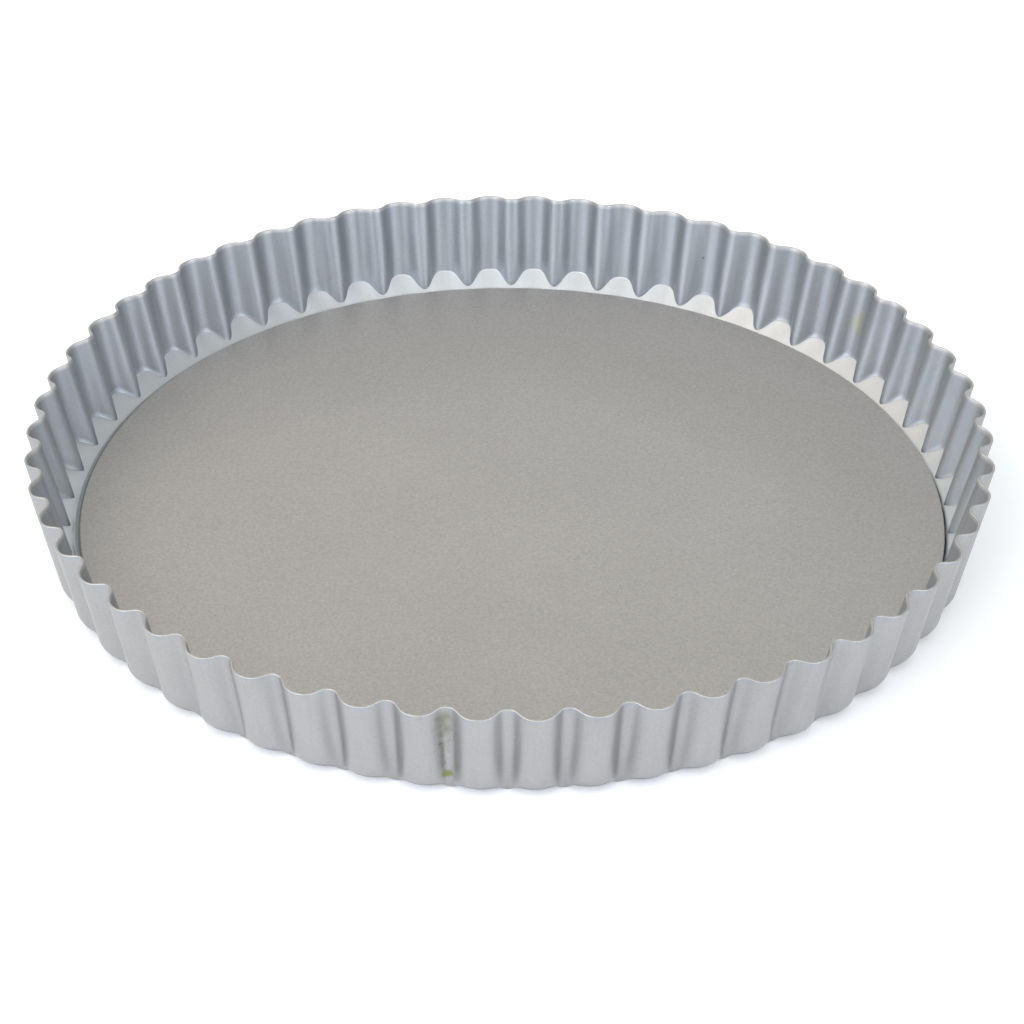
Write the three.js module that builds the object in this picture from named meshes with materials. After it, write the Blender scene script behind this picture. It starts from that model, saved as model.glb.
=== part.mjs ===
// A loose-bottom quiche tin: a fluted ring pressed from one aluminium sheet, and a flat round base
// that lies loose on the ring's inner ledge and lifts out through the top.
// Millimetres, +Z up, origin at the centre of the underside.
import * as THREE from "three";

// Driving dimensions of the ring
const RIM_DIAMETER = 228.6; // over the outward lobes of the rim
const HEIGHT = 25.2; // underside to the highest points of the rim
const WALL_LEAN = THREE.MathUtils.degToRad(10.2); // flare of the wall, from upright
const RING_GAUGE = 0.8; // thickness of the pressed sheet
const FLUTE_COUNT = 56;
const FLUTE_DEPTH = 3.3; // from an inward ridge to an outward lobe, along a radius
const RIDGE_SHARPNESS = 0.13; // second harmonic of the flutes, which narrows the inward ridges
const RIM_WAVE = 0.6; // the rim is this much lower on the lobes than on the ridges
const SCOOP_HEIGHT = 3.5; // the sloping foot of each lobe rises this far over the ledge
const SCOOP_LEAD = 0.7; // the sloping feet start this far inside the ridges' feet
const LEDGE_WIDTH = 9; // flat ledge, from the sloping feet in to the push-up hole
const BEND_EASE = 2; // the bottom bend below a lobe is this much wider than the lobe's sloping foot is high
const GROOVE_BEND = 0.6; // outside radius of the bottom bend below a groove

// Driving dimensions of the loose base
const BASE_GAUGE = 0.9; // thickness of the base sheet
const BASE_PLAY = 1; // radial play between the centred base and the sloping feet
const BASE_EDGE_BREAK = 0.2; // small chamfer on both edges of the base
const BASE_REST_DIRECTION = THREE.MathUtils.degToRad(-50); // the base has slid to this side
const TOUCH_GAP = 0.1; // left between the base's edge and the feet it has slid towards
const SEAT_GAP = 0.1; // left between the base and the ledge that carries it

// Fineness of the facets
const STEPS_PER_FLUTE = 8;
const BEND_STEPS = 3;
const BASE_SIDES = 168;

// What follows from the driving dimensions
const WALL_THICKNESS = RING_GAUGE / Math.cos(WALL_LEAN); // along a level line
const LOBE_RIM_RADIUS = RIM_DIAMETER / 2 - WALL_THICKNESS; // inside face
const WALL_SPREAD = (HEIGHT - RIM_WAVE - RING_GAUGE) * Math.tan(WALL_LEAN);
const RIDGE_FOOT_RADIUS = LOBE_RIM_RADIUS - WALL_SPREAD - FLUTE_DEPTH; // where a ridge meets the ledge
const SCOOP_RADIUS = RIDGE_FOOT_RADIUS - SCOOP_LEAD; // where the sloping feet leave the ledge
const SCOOP_SLOPE = SCOOP_HEIGHT / (FLUTE_DEPTH + SCOOP_LEAD); // rise over run of the sloping feet
const LOBE_BEND = RING_GAUGE + SCOOP_HEIGHT + BEND_EASE; // outside radius
const HOLE_RADIUS = SCOOP_RADIUS - LEDGE_WIDTH;
const BASE_RADIUS = SCOOP_RADIUS - BASE_PLAY;
const BASE_SHIFT = BASE_PLAY - TOUCH_GAP;

const ringMetal = new THREE.MeshStandardMaterial({ color: 0xb6babf, metalness: 1, roughness: 0.4 });
const baseMetal = new THREE.MeshStandardMaterial({ color: 0xaeaba8, metalness: 1, roughness: 0.5 });

// How far out the wall is at an angle: 0 on an inward ridge, 1 on an outward lobe.
function fluteShare(angle) {
  const phase = FLUTE_COUNT * angle;
  return (1 - Math.cos(phase) + RIDGE_SHARPNESS * (1 - Math.cos(2 * phase))) / 2;
}

// The slope of fluteShare, per radian.
function fluteShareRate(angle) {
  const phase = FLUTE_COUNT * angle;
  return (FLUTE_COUNT * (Math.sin(phase) + 2 * RIDGE_SHARPNESS * Math.sin(2 * phase))) / 2;
}

function polar(radius, angle, z) {
  return new THREE.Vector3(radius * Math.cos(angle), radius * Math.sin(angle), z);
}

// The closed section of the ring at one angle, from the push-up hole round the outside and back.
function ringSection(angle) {
  const share = fluteShare(angle);
  const footRadius = RIDGE_FOOT_RADIUS + share * FLUTE_DEPTH;
  const insideRadius = (z) => footRadius + (z - RING_GAUGE) * Math.tan(WALL_LEAN);

  // The outer face lies one gauge out, square to the wavy wall.
  const rate = fluteShareRate(angle) * FLUTE_DEPTH;
  const turn = Math.atan2(rate, footRadius);
  const outAlong = WALL_THICKNESS * Math.cos(turn);
  const outAcross = -WALL_THICKNESS * Math.sin(turn);
  const outerAngle = angle + outAcross / footRadius;
  const outsideRadius = (z) => insideRadius(z) + outAlong;

  const bend = GROOVE_BEND + (LOBE_BEND - GROOVE_BEND) * share;
  const bendCentre = outsideRadius(bend) - bend / Math.cos(WALL_LEAN);
  const rimHeight = HEIGHT - RIM_WAVE * share;
  const scoopTop = RING_GAUGE + SCOOP_SLOPE * (footRadius - SCOOP_RADIUS);

  const section = [polar(HOLE_RADIUS, angle, 0)];
  for (let step = 0; step <= BEND_STEPS; step++) {
    const swing = (step / BEND_STEPS) * (Math.PI / 2 - WALL_LEAN);
    section.push(polar(bendCentre + bend * Math.sin(swing), outerAngle, bend - bend * Math.cos(swing)));
  }
  section.push(polar(outsideRadius(rimHeight), outerAngle, rimHeight));
  section.push(polar(insideRadius(rimHeight), angle, rimHeight));
  section.push(polar(insideRadius(scoopTop), angle, scoopTop));
  section.push(polar(SCOOP_RADIUS, angle, RING_GAUGE));
  section.push(polar(HOLE_RADIUS, angle, RING_GAUGE));
  return section;
}

// A closed surface through sections that follow one another all the way round.
function loftRound(sections) {
  const around = sections.length;
  const along = sections[0].length;
  const triangles = [];
  for (let i = 0; i < around; i++) {
    for (let j = 0; j < along; j++) {
      const a = i * along + j;
      const b = i * along + ((j + 1) % along);
      const c = ((i + 1) % around) * along + j;
      const d = ((i + 1) % around) * along + ((j + 1) % along);
      triangles.push(a, c, b, b, c, d);
    }
  }
  const geometry = new THREE.BufferGeometry().setFromPoints(sections.flat());
  geometry.setIndex(triangles);
  geometry.computeVertexNormals();
  return geometry;
}

function makeFlutedRing() {
  const count = FLUTE_COUNT * STEPS_PER_FLUTE;
  const sections = [];
  for (let i = 0; i < count; i++) {
    sections.push(ringSection((2 * Math.PI * i) / count));
  }
  const ring = new THREE.Mesh(loftRound(sections), ringMetal);
  ring.name = "fluted_ring";
  return ring;
}

function makeLooseBase() {
  const inner = BASE_RADIUS - BASE_EDGE_BREAK;
  const profile = [
    new THREE.Vector2(0, 0),
    new THREE.Vector2(inner, 0),
    new THREE.Vector2(BASE_RADIUS, BASE_EDGE_BREAK),
    new THREE.Vector2(BASE_RADIUS, BASE_GAUGE - BASE_EDGE_BREAK),
    new THREE.Vector2(inner, BASE_GAUGE),
    new THREE.Vector2(0, BASE_GAUGE),
  ];
  const geometry = new THREE.LatheGeometry(profile, BASE_SIDES).rotateX(Math.PI / 2);
  const base = new THREE.Mesh(geometry, baseMetal);
  base.name = "loose_base";
  base.position.copy(polar(BASE_SHIFT, BASE_REST_DIRECTION, RING_GAUGE + SEAT_GAP));
  return base;
}

const tin = new THREE.Group();
tin.name = "quiche_tin";
tin.add(makeFlutedRing(), makeLooseBase());

export default tin;
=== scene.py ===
"""The looks of a loose-bottom quiche tin: a fine fluted ring and a loose base in satin anodised aluminium."""

import math
import random

import bpy
import numpy as np
from mathutils import Matrix, Vector


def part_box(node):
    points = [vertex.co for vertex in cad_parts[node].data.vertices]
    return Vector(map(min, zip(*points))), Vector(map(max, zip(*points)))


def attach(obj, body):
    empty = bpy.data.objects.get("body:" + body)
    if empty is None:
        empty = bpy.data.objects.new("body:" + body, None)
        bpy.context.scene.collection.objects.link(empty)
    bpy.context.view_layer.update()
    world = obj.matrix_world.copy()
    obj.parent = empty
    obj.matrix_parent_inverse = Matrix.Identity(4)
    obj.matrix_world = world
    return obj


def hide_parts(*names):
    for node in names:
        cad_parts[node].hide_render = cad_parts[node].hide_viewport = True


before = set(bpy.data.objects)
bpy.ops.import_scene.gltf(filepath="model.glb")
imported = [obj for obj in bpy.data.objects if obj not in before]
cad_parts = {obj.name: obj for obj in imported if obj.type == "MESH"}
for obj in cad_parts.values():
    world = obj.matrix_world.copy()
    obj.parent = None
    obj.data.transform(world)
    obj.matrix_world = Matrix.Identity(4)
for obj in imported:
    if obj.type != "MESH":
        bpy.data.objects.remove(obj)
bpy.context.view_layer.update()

MM = 0.001
FULL_TURN = 2 * math.pi
QUARTER_TURN = math.pi / 2

# The ring's sizes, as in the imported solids, in millimetres
RIM_RADIUS = 114.3
HEIGHT = 25.2
WALL_LEAN = math.radians(10.2)
RING_GAUGE = 0.8
FLUTE_COUNT = 56
FLUTE_DEPTH = 3.3
RIM_WAVE = 0.6
SCOOP_HEIGHT = 3.5
SCOOP_LEAD = 0.7
LEDGE_WIDTH = 9.0
BEND_EASE = 2.0
GROOVE_BEND = 0.6
LOBE_BEND = RING_GAUGE + SCOOP_HEIGHT + BEND_EASE
WALL_THICKNESS = RING_GAUGE / math.cos(WALL_LEAN)
WALL_SPREAD = (HEIGHT - RIM_WAVE - RING_GAUGE) * math.tan(WALL_LEAN)
RIDGE_FOOT_RADIUS = RIM_RADIUS - WALL_THICKNESS - WALL_SPREAD - FLUTE_DEPTH
SCOOP_RADIUS = RIDGE_FOOT_RADIUS - SCOOP_LEAD
SCOOP_SLOPE = SCOOP_HEIGHT / (FLUTE_DEPTH + SCOOP_LEAD)
HOLE_RADIUS = SCOOP_RADIUS - LEDGE_WIDTH

# Flutes: half width of a ridge, in flutes, and the powers of the ridge's and the lobe's curves
WALL_FLUTE = (0.215, 2.5, 2.5)
FOOT_FLUTE = (0.20, 2.0, 3.5)
FOOT_FADE = 4  # the foot's own shape fades upwards with this power
FOOT_REACH = 0.4  # the ridges' feet reach this much further in than in the solids
TIP_CREASE = 0.08  # share of a plain crease where the ridges run out on the ledge
GROOVE_FLARE = 0.5  # on the outside the grooves' feet stand this much further out
FLARE_FADE = 12  # and fade upwards with this power

# Rim
RIM_LOBE_OUT = 0.15  # at the rim the lobes stand this much further out than in the solids
RIM_RIDGE_OUT = 0.2  # and the ridges this much
RIM_THIN = 0.4  # share of the sheet's thickness that is missing inside, where the wall is drawn out
RIM_ROUND = 0.22  # rounding of the rim's two edges
RIM_RUB = 0.9  # the inner face is rubbed bare this far below that rounding

# Sloping feet
REST_SIDE = math.radians(-50)  # direction in which the base has slid
TOE_LEAD = 0.5  # opposite that side the feet start this much earlier, with a gentle toe
TOE_SLOPE = 0.80  # rise over run of the toe
TOE_SOFT = 0.06  # softness of the bend between toe and foot
FOOT_LIP = 0.22  # width of the narrow level lip over the feet at the left and right
LIP_SIDES = (0.3, 0.8)  # it comes in between these cosines of the angle to the left or right
LIP_ROUND = 0.04  # height of the soft bend above the lip
LIP_ROUND_SHARE = 0.3  # and at most this share of the foot's height
LIP_KNEE = 0.15  # the middle of that bend lies this share across the lip and this share up the bend
LEDGE_ROUND = 0.05  # width of the soft bend at the feet's start on the ledge
LEDGE_KNEE = 0.2  # and its height, as a share of the width

# Other edges, and painted shade in the crevices round the base
HOLE_ROUND = 0.25  # rounding of the push-up hole's edges
BASE_ROUND = 0.12  # rounding of the base's cut edge
LEDGE_SHADE_WIDTH = 0.14  # width of the painted shade in the corner of the ledge, a dark colour standing in for the crevice's shadow
LEDGE_SHADE_FADE = 1.3  # it has faded out at this many times its width
LEDGE_SHADE_SIDE = math.radians(-6)  # direction of its middle
LEDGE_SHADE_SPREAD = (0.965, 0.995)  # it comes in between these cosines of the angle to its middle
BASE_SHADE_WIDTH = 0.35  # width of the painted shade on the edge of the base's top, at the left, standing in for the crevice's shadow
BASE_SHADE_FULL = 0.7  # share of that width over which it is full
BASE_SHADE_SPREAD = (0.88, 0.98)  # it comes in between these cosines of the angle to the left
BASE_SHADE_STRENGTH = 0.5

# How far pressed flutes stray from the pattern
STRAY_SEED = 11
STRAY_DEPTH = 0.03  # share of the flute depth
STRAY_PHASE = 0.06  # radians of the flute's own turn
STRAY_RIM = 0.10  # millimetres of rim height

# Fineness of the meshes
STEPS_PER_FLUTE = 20
HOLE_STEPS = 3
UNDERSIDE_ROWS = 3
BEND_STEPS = 14
SHADED_BEND_ROWS = 10  # rows of the bottom bend that get the underside's painted shade
OUTER_WALL_ROWS = 10
RIM_STEPS = 6
RIM_MARGIN = 2  # rows at either end of the rim's rounding that keep the wall's finish
INNER_WALL_ROWS = 12
SLOPE_STEPS = 10
SLOPE_FIRST_STEP = 0.3  # the first row of the slope lies close under the lip
LEDGE_ROWS = 4
BASE_SPOKES = 288
BASE_RINGS = 24
BASE_EDGE_STEPS = 5

# Finishes: colour where the grain is darkest and where it is lightest
GRAIN_RANGE = (0.3, 0.7)  # values of the noise for those two
INNER_WALL = ((0.378, 0.394, 0.411), (0.484, 0.504, 0.525))
OUTER_WALL = ((0.358, 0.354, 0.355), (0.46, 0.452, 0.451))
RUBBED_FEET = ((0.55, 0.567, 0.583), (0.65, 0.667, 0.683))
BARE_RIM = ((0.45, 0.43, 0.40), (0.54, 0.515, 0.48))
RUBBED_RIM = ((0.505, 0.495, 0.487), (0.58, 0.57, 0.56))
BASE_SHEET = ((0.449, 0.428, 0.407), (0.592, 0.566, 0.542))

# Roughness and relief of the finishes
SATIN = (0.37, 0.45)  # roughness of the feet, in the grain's smoothest and coarsest parts
SATIN_RANGE = (0.7, 1.3)  # values of the marks and the grain together for those two
OUTER_COARSER = 0.04  # the outer wall is this much rougher
INNER_COARSER = 0.10  # and the inner wall this much
RIM_ROUGHNESS = 0.45  # the bare rim is at least this rough
BASE_MATT = (0.55, 0.57)
DRAWN_OUT = 0.06  # the drawing marks run up the wall: their noise changes this much slower upwards
STREAK_REACH = 0.3  # how far streaks move the tone of the inner wall
RELIEF_STRENGTH = 0.12
RING_RELIEF = 0.05  # depth in millimetres
BASE_RELIEF = 0.06

# Painted shade and highlights on the ring: colour, and the share of it that shows
# Painted shade: the inner wall darkened towards the rim
INNER_RIM_SHADE = (0.2, 0.21, 0.22)
INNER_SHADE_START = 8.0  # height in millimetres where the painted shade begins inside
INNER_SHADE_SHARE = 0.2  # its share at the rim
# Painted shade: the underside and the bottom bend darkened, standing in for the dark contact shade along the
# bottom edge
UNDERSIDE_PAINTED_SHADE = (0.16, 0.16, 0.165)
UNDERSIDE_SHADE_SHARE = 0.55
# Painted highlight: the lips at the left and right made near white, standing in for the light lines along the
# feet's top edges
LIP_PAINTED_HIGHLIGHT = (0.85, 0.85, 0.84)
LIP_HIGHLIGHT_SHARE = 0.9
# Painted shade: near-black colours standing in for the shadow in the crevices between base and ledge
LEDGE_PAINTED_SHADE = (0.02, 0.02, 0.02)
BASE_PAINTED_SHADE = (0.05, 0.05, 0.05)

# Old stains: face, degrees round the ring, height of the middle, half width and half height in millimetres,
# share of the colour that shows, and colour
STAINS = [
    ("outer_face", -96.8, 20.0, 1.9, 8.5, 0.9, (0.24, 0.245, 0.20)),  # olive run below the rim
    ("outer_face", -97.1, 11.5, 0.6, 7.0, 0.8, (0.23, 0.24, 0.19)),  # its thin trail
    ("outer_face", -96.6, 4.3, 1.3, 0.95, 0.9, (0.26, 0.27, 0.08)),  # the blot where it ends
    ("outer_face", -97.3, 14.1, 0.45, 0.45, 0.7, (0.10, 0.11, 0.09)),  # a dark spot in the trail
    ("inner_face", 35.9, 13.8, 1.8, 3.0, 0.75, (0.45, 0.44, 0.28)),  # pale splash inside
    ("inner_face", 62.2, 14.5, 0.5, 0.5, 0.8, (0.10, 0.09, 0.09)),  # dark speck inside
]
STAIN_EDGE = (1.2, 0.2)  # a stain begins and is full at these shares of its half size
STAIN_RAGGED = 0.5  # how far its edge wanders, as a share of its half size


def part_way(a, b, share):
    return a + (b - a) * share


def steps_between(a, b, count):
    """count values from a to b, both ends left out."""
    return [a + (b - a) * (k + 1) / (count + 1) for k in range(count)]


def eased(value, low, high):
    """0 below low, 1 above high, and a soft step between."""
    share = np.clip((value - low) / (high - low), 0, 1)
    return share * share * (3 - 2 * share)


def around(values, angles):
    """Smoothly joins one value per flute into a closed curve, read at the angles."""
    count = len(values)
    place = angles / FULL_TURN * count
    low = np.floor(place).astype(int)
    ease = (1 - np.cos(math.pi * (place - low))) / 2
    values = np.array(values)
    return values[low % count] * (1 - ease) + values[(low + 1) % count] * ease


def angles_round(count):
    return np.arange(count) * (FULL_TURN / count)


def polar(radius, angles, z):
    """Points at the angles; radius and height are one value, or one for each angle."""
    zeros = np.zeros_like(angles)
    return np.stack([radius * np.cos(angles), radius * np.sin(angles), z + zeros], axis=-1)


def quarter_round(radius, steps):
    """A rounded edge, from the side face up to the flat: pairs of inset from the side, and rise."""
    turns = [k / steps * QUARTER_TURN for k in range(steps + 1)]
    return [(radius * (1 - math.cos(turn)), radius * math.sin(turn)) for turn in turns]


def mesh_object(name, points, faces):
    """A smooth mesh over points in millimetres."""
    mesh = bpy.data.meshes.new(name)
    mesh.from_pydata((points * MM).tolist(), [], faces)
    mesh.polygons.foreach_set("use_smooth", [True] * len(mesh.polygons))
    mesh.update()
    piece = bpy.data.objects.new(name, mesh)
    bpy.context.scene.collection.objects.link(piece)
    return piece


def grid_object(name, points, closed):
    """A mesh of quads over points[column, row], joined up both ways where closed."""
    columns, rows = points.shape[:2]
    last = 0 if closed else 1
    i, j = np.meshgrid(np.arange(columns - last), np.arange(rows - last), indexing="ij")
    next_i = (i + 1) % columns
    next_j = (j + 1) % rows
    quads = np.stack([i * rows + j, next_i * rows + j, next_i * rows + next_j, i * rows + next_j], axis=-1)
    return mesh_object(name, points.reshape(-1, 3), quads.reshape(-1, 4).tolist())


def mark_rows(piece, name, grid, marked, strength=1.0):
    """A value on each point: strength on the marked rows of the grid (columns, rows) and 0 elsewhere."""
    values = np.zeros(grid)
    values[:, list(marked)] = np.reshape(strength, (-1, 1))
    others = np.zeros(len(piece.data.vertices) - values.size)
    attribute = piece.data.attributes.new(name, "FLOAT", "POINT")
    attribute.data.foreach_set("value", np.append(values.ravel(), others))


def two_curves(away, flank, ridge_power, lobe_power):
    """From a ridge's middle, away 0, to a lobe's, away 0.5: two curves that meet on the flank."""
    lobe_width = 0.5 - flank
    meet = 1 / (1 + ridge_power * lobe_width / (lobe_power * flank))
    ridge = meet * (away / flank) ** ridge_power
    lobe = 1 - (1 - meet) * ((0.5 - away) / lobe_width) ** lobe_power
    return np.where(away < flank, ridge, lobe)


def share_up(z):
    """0 at the ledge and 1 at the rim."""
    return np.clip((z - RING_GAUGE) / (HEIGHT - RING_GAUGE), 0, 1)


def flute_share(angles, up):
    """0 on an inward ridge and 1 on an outward lobe; up runs from 0 at the ledge to 1 at the rim."""
    turns = FLUTE_COUNT * angles / FULL_TURN
    away = np.abs(turns - np.round(turns))
    wall = two_curves(away, *WALL_FLUTE)
    foot = two_curves(away, *FOOT_FLUTE)
    return part_way(wall, foot, (1 - up) ** FOOT_FADE)


def foot_height(radius, toe_start):
    """Height of the sloping feet's inner face: a gentle toe that bends softly up into a cone."""
    cone = SCOOP_SLOPE * (radius - SCOOP_RADIUS)
    toe = TOE_SLOPE * (radius - toe_start)
    return RING_GAUGE + (cone + toe + np.hypot(cone - toe, TOE_SOFT)) / 2


class RingShape:
    """The ring's faces at a set of angles, with the small strays of a pressing."""

    def __init__(self, angles):
        draw = random.Random(STRAY_SEED)
        depth = [1 + STRAY_DEPTH * draw.uniform(-1, 1) for _ in range(FLUTE_COUNT)]
        phase = [STRAY_PHASE * draw.uniform(-1, 1) for _ in range(FLUTE_COUNT)]
        rim = [STRAY_RIM * draw.uniform(-1, 0) for _ in range(FLUTE_COUNT)]
        self.angles = angles
        self.fluted_angles = angles + around(phase, angles) / FLUTE_COUNT
        self.depth_stray = around(depth, angles)
        self.foot_share = flute_share(self.fluted_angles, 0.0)

        # The outer face lies one gauge out, square to the wavy wall
        middle = self.wall((HEIGHT + RING_GAUGE) / 2)
        step = angles[1] - angles[0]
        rate = (np.roll(middle, -1) - np.roll(middle, 1)) / (2 * step)
        turn = np.arctan2(rate, middle)
        self.out_along = WALL_THICKNESS * np.cos(turn)
        self.outer_angles = angles - WALL_THICKNESS * np.sin(turn) / middle

        # The rim below its rounding, and the bottom bend, wide under a lobe and tight under a groove
        rim_height = HEIGHT - RIM_WAVE * flute_share(self.fluted_angles, 1.0) + around(rim, angles)
        self.rim_low = rim_height - RIM_ROUND
        self.bend = part_way(GROOVE_BEND, LOBE_BEND, self.foot_share)
        self.bend_centre = self.outside(self.bend) - self.bend / math.cos(WALL_LEAN)

        # Where the sloping feet start on the ledge, and the lip where they meet the wall
        self.toe_start = SCOOP_RADIUS - TOE_LEAD * (1 - np.cos(angles - REST_SIDE)) / 2
        self.lip_height = foot_height(self.inside(RING_GAUGE), self.toe_start)
        rise = self.lip_height - RING_GAUGE
        self.lip_soft = np.minimum(LIP_ROUND, rise * LIP_ROUND_SHARE)
        self.lip_share = np.clip(rise / SCOOP_HEIGHT, 0, 1) * eased(np.abs(np.cos(angles)), *LIP_SIDES)
        self.lip_width = FOOT_LIP * self.lip_share
        self.lip_radius = self.inside(self.lip_height) - self.lip_width

    def wall(self, z, crease=0.0):
        """Radius of the fluted wall at a height; crease is the share of a plain crease at the foot."""
        up = share_up(z)
        share = flute_share(self.fluted_angles, up)
        plain_crease = np.abs(np.sin(FLUTE_COUNT * self.fluted_angles / 2))
        share = part_way(share, plain_crease, crease * (1 - up) ** FOOT_FADE)
        inward = part_way(FOOT_REACH, -RIM_RIDGE_OUT, up)
        depth = (FLUTE_DEPTH + inward + RIM_LOBE_OUT * up) * self.depth_stray
        return RIDGE_FOOT_RADIUS - inward + share * depth + (z - RING_GAUGE) * math.tan(WALL_LEAN)

    def inside(self, z):
        return self.wall(z, TIP_CREASE)

    def outside(self, z):
        flare = GROOVE_FLARE * (1 - self.foot_share) * (1 - share_up(z)) ** FLARE_FADE
        return self.wall(z) + self.out_along + flare

    def sheet(self, z, across):
        """Points in the wall's sheet at a height: across is 0 on its inner face and 1 on its outer one."""
        radius = part_way(self.inside(z), self.outside(z), across)
        return polar(radius, part_way(self.angles, self.outer_angles, across), z)

    def underside_rows(self):
        """The lower edge of the push-up hole and the flat underside."""
        rows = []
        for inset, rise in quarter_round(HOLE_ROUND, HOLE_STEPS):
            rows.append(polar(HOLE_RADIUS + inset, self.angles, HOLE_ROUND - rise))
        for radius in steps_between(HOLE_RADIUS + HOLE_ROUND, self.bend_centre, UNDERSIDE_ROWS):
            rows.append(polar(radius, self.angles, 0.0))
        return rows

    def bend_rows(self):
        """The bottom bend, from the underside up to the leaning wall."""
        rows = []
        for k in range(BEND_STEPS + 1):
            swing = k / BEND_STEPS * (QUARTER_TURN - WALL_LEAN)
            radius = self.bend_centre + self.bend * math.sin(swing)
            rows.append(polar(radius, self.outer_angles, self.bend * (1 - math.cos(swing))))
        return rows

    def outer_wall_rows(self):
        bend_top = self.bend * (1 - math.sin(WALL_LEAN))
        heights = steps_between(bend_top, self.rim_low, OUTER_WALL_ROWS)
        return [polar(self.outside(z), self.outer_angles, z) for z in heights]

    def rim_rows(self):
        """The rounded rim, from the outer face over to the inner one."""
        corner = [(inset / WALL_THICKNESS, rise) for inset, rise in quarter_round(RIM_ROUND, RIM_STEPS)]
        profile = [(1 - inset, rise) for inset, rise in corner]
        profile += [(RIM_THIN + inset, rise) for inset, rise in reversed(corner)]
        return [self.sheet(self.rim_low + rise, across) for across, rise in profile]

    def inner_wall_rows(self):
        """The inner wall down to the lip, with closer rows where it is rubbed below the rim."""
        rub_low = self.rim_low - RIM_RUB
        heights = [self.rim_low - RIM_RUB / 2, rub_low]
        heights += steps_between(rub_low, self.lip_height + self.lip_soft, INNER_WALL_ROWS)
        return [self.sheet(z, RIM_THIN * share_up(z) ** 2) for z in heights]

    def lip_rows(self):
        """The soft bend from the wall onto the lip, and the lip's edge."""
        bend_top = self.lip_height + self.lip_soft
        knee_radius = self.inside(self.lip_height) - self.lip_width * LIP_KNEE
        return [
            polar(self.inside(bend_top), self.angles, bend_top),
            polar(knee_radius, self.angles, self.lip_height + self.lip_soft * LIP_KNEE),
            polar(self.lip_radius, self.angles, self.lip_height),
        ]

    def foot_rows(self):
        """The sloping feet, and at their start the corner of the ledge that gets painted shade."""
        lip_drop = self.lip_height - foot_height(self.lip_radius, self.toe_start)
        rows = []
        for k in range(SLOPE_STEPS):
            down = max(k, SLOPE_FIRST_STEP) / SLOPE_STEPS
            radius = part_way(self.lip_radius, self.toe_start, down)
            z = foot_height(radius, self.toe_start) + lip_drop * (1 - down)
            rows.append(polar(radius, self.angles, z))
        return rows + [
            polar(self.toe_start, self.angles, RING_GAUGE + LEDGE_ROUND * LEDGE_KNEE),
            polar(self.toe_start - LEDGE_ROUND, self.angles, RING_GAUGE),
            polar(self.toe_start - LEDGE_SHADE_WIDTH, self.angles, RING_GAUGE),
        ]

    def ledge_rows(self):
        """The flat ledge and the hole's upper edge."""
        shade_free = self.toe_start - LEDGE_SHADE_WIDTH * LEDGE_SHADE_FADE
        radii = [shade_free] + steps_between(shade_free, HOLE_RADIUS + HOLE_ROUND, LEDGE_ROWS)
        rows = [polar(radius, self.angles, RING_GAUGE) for radius in radii]
        for inset, rise in reversed(quarter_round(HOLE_ROUND, HOLE_STEPS)):
            rows.append(polar(HOLE_RADIUS + inset, self.angles, RING_GAUGE - HOLE_ROUND + rise))
        return rows


def make_ring():
    """The ring as one closed grid: round its section from the hole, and all the way round the tin."""
    angles = angles_round(FLUTE_COUNT * STEPS_PER_FLUTE)
    shape = RingShape(angles)
    stretches = {
        "underside": shape.underside_rows(),
        "bend": shape.bend_rows(),
        "outer_wall": shape.outer_wall_rows(),
        "rim": shape.rim_rows(),
        "inner_wall": shape.inner_wall_rows(),
        "lip": shape.lip_rows(),
        "foot": shape.foot_rows(),
        "ledge": shape.ledge_rows(),
    }
    rows = []
    span = {}
    for name, stretch in stretches.items():
        span[name] = range(len(rows), len(rows) + len(stretch))
        rows += stretch
    piece = grid_object("ring_visual", np.stack(rows, axis=1), True)

    grid = (len(angles), len(rows))
    # Painted shade in the ledge's corner, strongest towards the right, stands in for the crevice's shadow
    ledge_corner = span["foot"][SLOPE_STEPS:]
    right_side = eased(np.cos(angles - LEDGE_SHADE_SIDE), *LEDGE_SHADE_SPREAD)
    mark_rows(piece, "cut_edge", grid, span["rim"][RIM_MARGIN:-RIM_MARGIN])
    mark_rows(piece, "rubbed_rim", grid, [*span["rim"][-RIM_STEPS:], span["inner_wall"][0]])
    mark_rows(piece, "outer_face", grid, range(span["rim"].start))
    mark_rows(piece, "foot", grid, [span["lip"][-1], *span["foot"]])
    # painted shade on the underside and the bottom bend
    mark_rows(piece, "underside_shade", grid, range(span["bend"].start + SHADED_BEND_ROWS))
    # painted highlight on the lips at the left and right
    mark_rows(piece, "lip_highlight", grid, span["lip"][-2:], shape.lip_share)
    mark_rows(piece, "painted_crevice_shade", grid, ledge_corner, right_side)
    return piece


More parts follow.
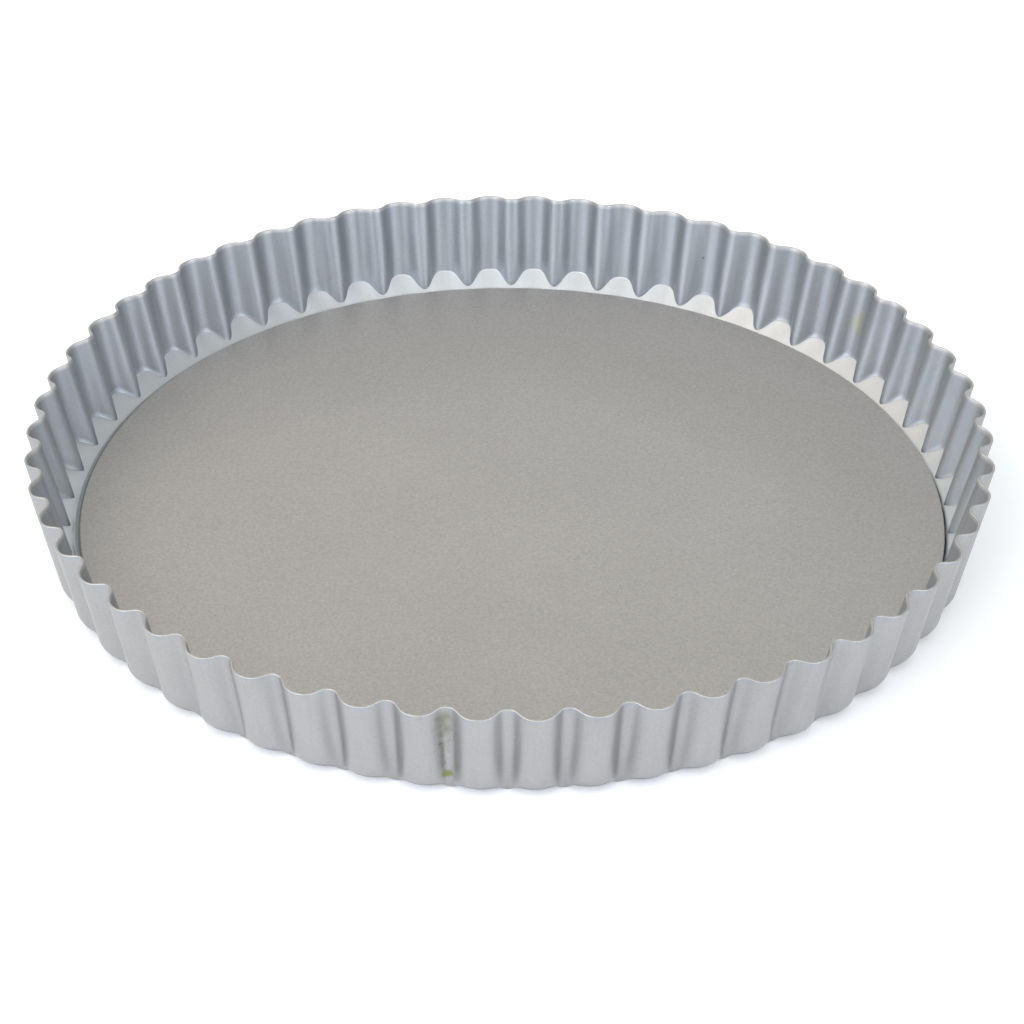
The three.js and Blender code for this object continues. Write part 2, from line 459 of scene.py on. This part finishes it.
def make_base():
    """The flat base: rings of points on top and underneath, with a rounded cut edge."""
    low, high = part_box("loose_base")
    centre = (Vector(low) + Vector(high)) / 2 / MM
    radius = (high[0] - low[0]) / 2 / MM
    gauge = (high[2] - low[2]) / MM
    angles = angles_round(BASE_SPOKES)
    flat = radius - BASE_ROUND
    shade_free = flat - BASE_SHADE_WIDTH
    top = [(shade_free * k / BASE_RINGS, gauge) for k in range(1, BASE_RINGS + 1)]
    top += [(flat - BASE_SHADE_WIDTH * BASE_SHADE_FULL, gauge), (flat, gauge)]
    corner = quarter_round(BASE_ROUND, BASE_EDGE_STEPS)[:-1]
    edge = [(radius - inset, gauge - BASE_ROUND + rise) for inset, rise in reversed(corner)]
    lower_edge = [(r, gauge - z) for r, z in reversed(edge)]
    underside = [(r, 0.0) for r, _ in reversed(top)]
    profile = top + edge + lower_edge + underside
    rows = len(profile)
    points = np.stack([polar(r, angles, z) for r, z in profile], axis=1).reshape(-1, 3)
    middles = [(0.0, 0.0, gauge), (0.0, 0.0, 0.0)]
    points = np.concatenate([points, middles]) + np.array([centre.x, centre.y, low[2] / MM])
    top_middle = BASE_SPOKES * rows
    low_middle = top_middle + 1
    faces = []
    for i in range(BASE_SPOKES):
        here = i * rows
        beside = (i + 1) % BASE_SPOKES * rows
        for j in range(rows - 1):
            faces.append((here + j, here + j + 1, beside + j + 1, beside + j))
        faces.append((top_middle, here, beside))
        faces.append((low_middle, beside + rows - 1, here + rows - 1))
    piece = mesh_object("base_visual", points, faces)

    # Painted shade along the base's edge, strongest at the left, stands in for the crevice's shadow
    outer_rows = range(BASE_RINGS, rows - len(underside))
    left_side = BASE_SHADE_STRENGTH * eased(-np.cos(angles), *BASE_SHADE_SPREAD)
    mark_rows(piece, "painted_crevice_shade", (BASE_SPOKES, rows), outer_rows, left_side)
    return piece


class Nodes:
    """Short calls for building a node tree."""

    def __init__(self, owner):
        owner.use_nodes = True
        self.tree = owner.node_tree
        self.tree.nodes.clear()

    def add(self, kind, **settings):
        node = self.tree.nodes.new(kind)
        for key, value in settings.items():
            setattr(node, key, value)
        return node

    def join(self, output, socket):
        self.tree.links.new(output, socket)

    def mark(self, name):
        """A value that the mesh holds on its points."""
        return self.add("ShaderNodeAttribute", attribute_name=name).outputs["Fac"]

    def math(self, operation, a, b=None):
        node = self.add("ShaderNodeMath", operation=operation)
        for socket, value in zip(node.inputs, (a, b)):
            if value is None:
                continue
            if isinstance(value, (int, float)):
                socket.default_value = value
            else:
                self.join(value, socket)
        return node.outputs[0]

    def weighted(self, *terms):
        """The sum of outputs, each times its weight."""
        scaled = [self.math("MULTIPLY", output, weight) for output, weight in terms]
        total = scaled[0]
        for term in scaled[1:]:
            total = self.math("ADD", total, term)
        return total

    def spread(self, source, low, high, to_low, to_high):
        """Stretches the values from low to high over to_low to to_high, and holds them there beyond."""
        node = self.add("ShaderNodeMapRange")
        for name, value in (("From Min", low), ("From Max", high), ("To Min", to_low), ("To Max", to_high)):
            node.inputs[name].default_value = value
        self.join(source, node.inputs["Value"])
        return node.outputs["Result"]

    def noise(self, vector, scale, detail, roughness=0.5):
        node = self.add("ShaderNodeTexNoise")
        node.inputs["Scale"].default_value = scale
        node.inputs["Detail"].default_value = detail
        node.inputs["Roughness"].default_value = roughness
        self.join(vector, node.inputs["Vector"])
        return node.outputs["Fac"]

    def grained(self, source, tones):
        """A colour between two tones, by the grain's noise."""
        node = self.add("ShaderNodeValToRGB")
        for element, place, tone in zip(node.color_ramp.elements, GRAIN_RANGE, tones):
            element.position = place
            element.color = (*tone, 1.0)
        self.join(source, node.inputs["Fac"])
        return node.outputs["Color"]

    def mix(self, share, a, b):
        """Colour a where share is 0 and b where it is 1; each is a colour or another node's output."""
        node = self.add("ShaderNodeMix", data_type="RGBA")
        self.join(share, node.inputs["Factor"])
        # The colour sockets go by number, because number and vector sockets have the same names
        colour_a, colour_b, result = node.inputs[6], node.inputs[7], node.outputs[2]
        for socket, value in ((colour_a, a), (colour_b, b)):
            if isinstance(value, tuple):
                socket.default_value = (*value, 1.0)
            else:
                self.join(value, socket)
        return result

    def metal(self, colour, roughness, relief, depth):
        """Ends the tree in a bare metal with a fine relief, depth in millimetres."""
        shader = self.add("ShaderNodeBsdfPrincipled")
        shader.inputs["Metallic"].default_value = 1.0
        self.join(colour, shader.inputs["Base Color"])
        self.join(roughness, shader.inputs["Roughness"])
        bump = self.add("ShaderNodeBump")
        bump.inputs["Strength"].default_value = RELIEF_STRENGTH
        bump.inputs["Distance"].default_value = depth * MM
        self.join(relief, bump.inputs["Height"])
        self.join(bump.outputs[0], shader.inputs["Normal"])
        self.join(shader.outputs[0], self.add("ShaderNodeOutputMaterial").inputs[0])


def stain_share(nodes, along, height, ragged, angle, middle, half_width, half_height):
    """A ragged patch round the ring: 1 in its middle and 0 outside; sizes in millimetres."""
    start = math.radians(angle) * RIM_RADIUS * MM
    across = nodes.math("DIVIDE", nodes.math("SUBTRACT", along, start), half_width * MM)
    upward = nodes.math("DIVIDE", nodes.math("SUBTRACT", height, middle * MM), half_height * MM)
    across_square = nodes.math("MULTIPLY", across, across)
    upward_square = nodes.math("MULTIPLY", upward, upward)
    reach = nodes.math("SQRT", nodes.math("ADD", across_square, upward_square))
    return nodes.spread(nodes.math("ADD", reach, ragged), *STAIN_EDGE, 0.0, 1.0)


def ring_material():
    """Satin anodised aluminium: fine grain, drawing marks, rubbed feet, a bare cut rim and old stains;
    painted shade under the bottom bend, in the ledge's corner and towards the rim inside, and painted
    highlights on the lips.
    """
    material = bpy.data.materials.new("ring_aluminium")
    nodes = Nodes(material)
    place = nodes.add("ShaderNodeTexCoord").outputs["Object"]
    parts = nodes.add("ShaderNodeSeparateXYZ")
    nodes.join(place, parts.inputs[0])
    height = parts.outputs["Z"]
    turn = nodes.math("ARCTAN2", parts.outputs["Y"], parts.outputs["X"])
    along = nodes.math("MULTIPLY", turn, RIM_RADIUS * MM)

    # Noise that is drawn out up the wall, and noise that is alike in all directions
    drawn = nodes.add("ShaderNodeCombineXYZ")
    nodes.join(along, drawn.inputs["X"])
    nodes.join(nodes.math("MULTIPLY", height, DRAWN_OUT), drawn.inputs["Y"])
    marks = nodes.noise(drawn.outputs[0], scale=1100.0, detail=3.0, roughness=0.6)
    streaks = nodes.noise(drawn.outputs[0], scale=600.0, detail=2.0)
    cloud = nodes.noise(place, scale=60.0, detail=3.0)
    grain = nodes.noise(place, scale=2100.0, detail=2.0, roughness=0.6)
    tone = nodes.weighted((marks, 0.25), (cloud, 0.25), (grain, 0.5))
    streaked = nodes.math("ADD", tone, nodes.spread(streaks, 0.0, 1.0, -STREAK_REACH, STREAK_REACH))

    # The faces: streaked wall inside with painted shade towards the rim, rubbed feet, plainer wall outside
    foot = nodes.mark("foot")
    outer = nodes.mark("outer_face")
    inner = nodes.math("SUBTRACT", 1.0, outer)
    rimward_shade = nodes.spread(height, INNER_SHADE_START * MM, HEIGHT * MM, 0.0, INNER_SHADE_SHARE)
    colour = nodes.mix(rimward_shade, nodes.grained(streaked, INNER_WALL), INNER_RIM_SHADE)
    colour = nodes.mix(foot, colour, nodes.grained(tone, RUBBED_FEET))
    colour = nodes.mix(outer, colour, nodes.grained(tone, OUTER_WALL))

    # Old stains
    edge_noise = nodes.noise(place, scale=420.0, detail=4.0, roughness=0.6)
    ragged = nodes.spread(edge_noise, *GRAIN_RANGE, -STAIN_RAGGED, STAIN_RAGGED)
    faces = {"outer_face": outer, "inner_face": inner}
    for face, angle, middle, half_width, half_height, share, stain in STAINS:
        patch = stain_share(nodes, along, height, ragged, angle, middle, half_width, half_height)
        on_face = nodes.math("MULTIPLY", patch, faces[face])
        colour = nodes.mix(nodes.math("MULTIPLY", on_face, share), colour, stain)

    # Painted shade on the underside and bottom bend, painted highlights on the lips, bare rim, and painted
    # shade in the ledge's corner
    edge = nodes.mark("cut_edge")
    colour = nodes.mix(nodes.math("MULTIPLY", nodes.mark("underside_shade"), UNDERSIDE_SHADE_SHARE), colour, UNDERSIDE_PAINTED_SHADE)
    colour = nodes.mix(nodes.math("MULTIPLY", nodes.mark("lip_highlight"), LIP_HIGHLIGHT_SHARE), colour, LIP_PAINTED_HIGHLIGHT)
    colour = nodes.mix(edge, colour, nodes.grained(grain, BARE_RIM))
    colour = nodes.mix(nodes.mark("rubbed_rim"), colour, nodes.grained(grain, RUBBED_RIM))
    colour = nodes.mix(nodes.mark("painted_crevice_shade"), colour, LEDGE_PAINTED_SHADE)

    # The feet are the smoothest, then the outer face, then the inner one
    satin = nodes.spread(nodes.math("ADD", marks, grain), *SATIN_RANGE, *SATIN)
    coarser = nodes.spread(inner, 0.0, 1.0, OUTER_COARSER, INNER_COARSER)
    satin = nodes.math("ADD", satin, nodes.math("MULTIPLY", nodes.math("SUBTRACT", 1.0, foot), coarser))
    roughness = nodes.math("MAXIMUM", satin, nodes.math("MULTIPLY", edge, RIM_ROUGHNESS))
    nodes.metal(colour, roughness, nodes.weighted((marks, 0.5), (grain, 1.0)), RING_RELIEF)
    return material


def base_material():
    """Fine matt aluminium sheet, warm grey and finely grained, with painted shade on part of its edge for the
    crevice's shadow.
    """
    material = bpy.data.materials.new("base_aluminium")
    nodes = Nodes(material)
    place = nodes.add("ShaderNodeTexCoord").outputs["Object"]
    cloud = nodes.noise(place, scale=28.0, detail=4.0)
    grain = nodes.noise(place, scale=1500.0, detail=3.0, roughness=0.7)
    colour = nodes.grained(nodes.weighted((cloud, 0.15), (grain, 0.85)), BASE_SHEET)
    # painted shade on the base's edge
    colour = nodes.mix(nodes.mark("painted_crevice_shade"), colour, BASE_PAINTED_SHADE)
    roughness = nodes.spread(cloud, *GRAIN_RANGE, *BASE_MATT)
    nodes.metal(colour, roughness, grain, BASE_RELIEF)
    return material


def floor_material():
    """White ground that keeps the tin's soft shadow; eye and mirror rays see it close to white."""
    ground = (0.90, 0.90, 0.90, 1.0)
    lift = 0.20
    material = bpy.data.materials.new("white_ground")
    nodes = Nodes(material)
    path = nodes.add("ShaderNodeLightPath")
    seen = nodes.math("MAXIMUM", path.outputs["Is Camera Ray"], path.outputs["Is Glossy Ray"])
    seen = nodes.math("MAXIMUM", seen, path.outputs["Is Transmission Ray"])
    diffuse = nodes.add("ShaderNodeBsdfDiffuse")
    diffuse.inputs["Color"].default_value = ground
    glow = nodes.add("ShaderNodeEmission")
    nodes.join(nodes.math("MULTIPLY", seen, lift), glow.inputs["Strength"])
    both = nodes.add("ShaderNodeAddShader")
    nodes.join(diffuse.outputs[0], both.inputs[0])
    nodes.join(glow.outputs[0], both.inputs[1])
    nodes.join(both.outputs[0], nodes.add("ShaderNodeOutputMaterial").inputs[0])
    return material


def make_stage():
    """A level floor, 12 metres across."""
    half = 6.0 / MM
    points = np.array([[[-half, -half, 0], [-half, half, 0]], [[half, -half, 0], [half, half, 0]]])
    floor = grid_object("floor", points, False)
    floor.data.materials.append(floor_material())


def make_world():
    """Even, pale light from all round."""
    pale = (0.63, 0.65, 0.65, 1.0)
    world = bpy.data.worlds.new("studio")
    bpy.context.scene.world = world
    nodes = Nodes(world)
    background = nodes.add("ShaderNodeBackground")
    background.inputs["Color"].default_value = pale
    nodes.join(background.outputs[0], nodes.add("ShaderNodeOutputWorld").inputs[0])


def add_softbox(name, turn, rise, distance, width, height, radiance, tint):
    """A soft panel facing the tin: turn is degrees clockwise from straight behind it, rise is degrees up."""
    lamp = bpy.data.lights.new(name, "AREA")
    lamp.shape = "RECTANGLE"
    lamp.size = width
    lamp.size_y = height
    lamp.energy = radiance * math.pi * width * height
    lamp.color = tint
    turn = math.radians(turn)
    rise = math.radians(rise)
    way = Vector((math.sin(turn) * math.cos(rise), math.cos(turn) * math.cos(rise), math.sin(rise)))
    holder = bpy.data.objects.new(name, lamp)
    holder.location = way * distance
    holder.rotation_euler = way.to_track_quat("Z", "Y").to_euler()
    bpy.context.scene.collection.objects.link(holder)


def make_lights():
    """Soft panels all round: name, turn and rise, distance, width and height in metres, radiance, tint."""
    cool = (0.91, 1.0, 1.15)
    warm = (1.2, 1.0, 0.80)
    plain = (1.0, 1.0, 1.0)
    softboxes = [
        ("left_front_softbox", 225, 24, 1.3, 1.1, 0.95, 3.0, cool),
        ("right_front_softbox", 135, 14, 1.3, 1.0, 0.6, 3.3, cool),
        ("front_strip", 180, 7, 1.6, 1.6, 0.25, 0.5, cool),
        ("overhead_softbox", 180, 66, 1.3, 1.8, 0.9, 1.07, plain),
        ("left_high_softbox", 270, 50, 1.3, 0.8, 0.8, 0.9, warm),
        ("back_strip", 0, 13, 1.5, 1.5, 0.6, 0.7, plain),
        ("back_left_softbox", 315, 37, 1.3, 0.6, 0.6, 0.62, warm),
    ]
    for softbox in softboxes:
        add_softbox(*softbox)


def make_camera():
    """The camera that a fit to the photo's rim, base and bottom outlines gave."""
    rim_mean = 113.0 * MM
    distance = 5.815 * rim_mean
    elevation = math.radians(34.19)
    aim = Vector((0.0056, 0.0, -0.0178)) * rim_mean
    roll = 0.0084
    focal_pixels = 2700.3
    frame_pixels = 1024
    sensor_width = 36.0
    nearest = 0.05
    camera = bpy.data.cameras.new("camera")
    camera.sensor_width = sensor_width
    camera.lens = sensor_width * focal_pixels / frame_pixels
    camera.clip_start = nearest
    place = Vector((0.0, -distance * math.cos(elevation), distance * math.sin(elevation)))
    forward = (aim - place).normalized()
    right = forward.cross(Vector((0, 0, 1))).normalized()
    up = right.cross(forward)
    right_rolled = math.cos(roll) * right + math.sin(roll) * up
    up_rolled = math.cos(roll) * up - math.sin(roll) * right
    holder = bpy.data.objects.new("camera", camera)
    axes = Matrix((right_rolled, up_rolled, -forward)).transposed()
    holder.matrix_world = Matrix.Translation(place) @ axes.to_4x4()
    bpy.context.scene.collection.objects.link(holder)
    bpy.context.scene.camera = holder


ring = make_ring()
ring.data.materials.append(ring_material())
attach(ring, "ring")
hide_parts("fluted_ring")

base = make_base()
base.data.materials.append(base_material())
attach(base, "base")
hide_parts("loose_base")

make_stage()
make_world()
make_lights()
make_camera()
bpy.context.scene.view_settings.view_transform = "Standard"
